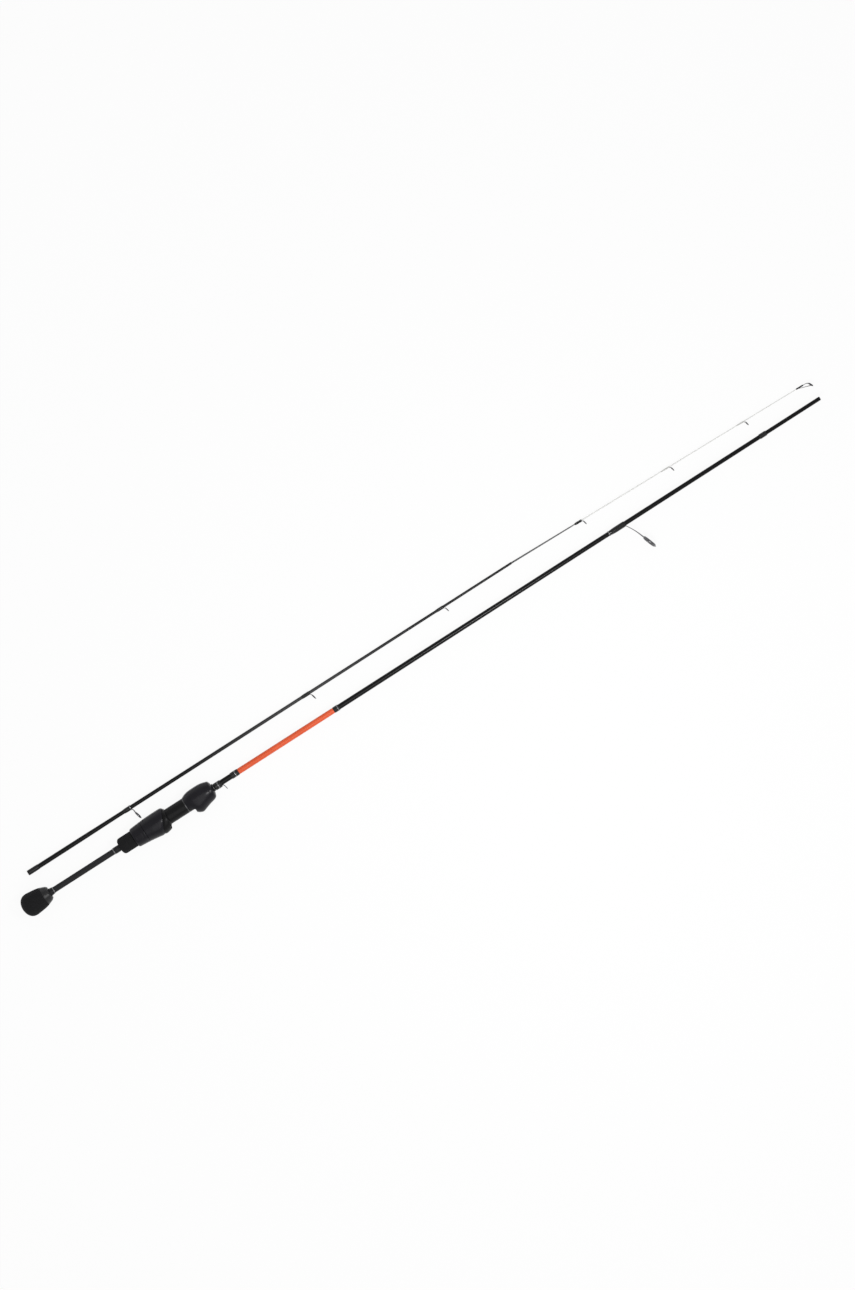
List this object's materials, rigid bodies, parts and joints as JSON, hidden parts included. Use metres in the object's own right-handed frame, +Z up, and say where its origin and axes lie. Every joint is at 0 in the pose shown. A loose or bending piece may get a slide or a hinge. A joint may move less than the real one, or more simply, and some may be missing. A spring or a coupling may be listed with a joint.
{
  "type": "two-piece spinning fishing rod",
  "caption": "Slim two-piece spinning rod with split grip, screw-locked skeleton reel seat, orange sleeve, wire ring guides and a fine white solid tip, sections laid side by side.",
  "frame": {"origin": "on the butt section's axis at the middle of the open reel seat", "axes": "+X along the rod towards the tip, -Y the side of the reel and the guides, +Z up with both sections lying on their sides"},
  "size_m": [1.0375, 0.0733, 0.0264],
  "materials": {
    "foam": "closed-cell EVA foam, matte with a fine grain",
    "soft_grip": "soft-touch moulded plastic, satin",
    "hard_plastic": "hard black plastic, satin",
    "seat_plastic": "smooth black moulded plastic",
    "carbon": "clear-coated black carbon fibre, matte behind the seat",
    "thread_wrap": "black thread under clear epoxy",
    "clear_wrap": "pale thread under clear epoxy",
    "bright_trim": "bright silver trim",
    "orange": "orange satin sleeve",
    "guide_frame": "gunmetal plated wire",
    "ceramic": "polished dark ceramic",
    "solid_tip": "white painted solid glass, grey at its root"
  },
  "bodies": {
    "butt_section": {"butt_knob": "foam", "knob_collar": "hard_plastic", "knob_trim_ring": "bright_trim", "butt_blank": "carbon", "ferrule_plug": "hard_plastic", "ferrule_stop_wrap": "thread_wrap", "rear_trim_ring": "bright_trim", "rear_check": "hard_plastic", "rear_grip": "foam", "seat_barrel": "seat_plastic", "seat_arbors": "foam", "barrel_trim_ring": "bright_trim", "front_hood": "soft_grip", "front_check": "hard_plastic", "keeper_wrap": "thread_wrap", "keeper_band": "bright_trim", "hook_keeper": "guide_frame", "sleeve_wrap": "thread_wrap", "sleeve_wrap_band": "bright_trim", "orange_sleeve": "orange", "sleeve_end_wrap": "thread_wrap", "sleeve_end_band": "bright_trim", "stripper_wrap": "thread_wrap", "stripper_band": "bright_trim", "stripper_frame": "guide_frame", "stripper_ring": "ceramic"},
    "sliding_hood": {"sliding_hood": "soft_grip", "hood_cap": "hard_plastic", "hood_carrier": "hard_plastic"},
    "lock_nut": {"lock_nut": "soft_grip", "nut_core": "hard_plastic"},
    "tip_section": {"tip_tube": "carbon", "socket_wrap": "thread_wrap", "solid_tip": "solid_tip", "guide_1_band": "bright_trim", "tip_top_frame": "guide_frame", "tip_top_ring": "ceramic", "guide_1_wrap": "thread_wrap", "guide_1_frame": "guide_frame", "guide_1_ring": "ceramic", "guide_2_wrap": "thread_wrap", "guide_2_frame": "guide_frame", "guide_2_ring": "ceramic", "guide_3_wrap": "thread_wrap", "guide_3_frame": "guide_frame", "guide_3_ring": "ceramic", "guide_4_wrap": "thread_wrap", "guide_4_frame": "guide_frame", "guide_4_ring": "ceramic", "guide_5_wrap": "clear_wrap", "guide_5_frame": "guide_frame", "guide_5_ring": "ceramic", "guide_6_wrap": "clear_wrap", "guide_6_frame": "guide_frame", "guide_6_ring": "ceramic"}
  },
  "joints": [
    {"name": "hood_slide", "type": "slide", "parent": "butt_section", "child": "sliding_hood", "axis": [1, 0, 0], "range_m": [0, 0.0161]},
    {"name": "nut_turn", "type": "hinge", "parent": "sliding_hood", "child": "lock_nut", "pos_m": [-0.0484, 0, 0], "axis": [1, 0, 0], "range_deg": [0, 2880]},
    {"name": "section_slide", "type": "slide", "parent": "butt_section", "child": "tip_section", "axis": [1, 0, 0], "range_m": [0, 1.015]}
  ],
  "couplings": [
    {"joint": "hood_slide", "follows": "nut_turn", "m_per_rad": 0.00031831}
  ]
}
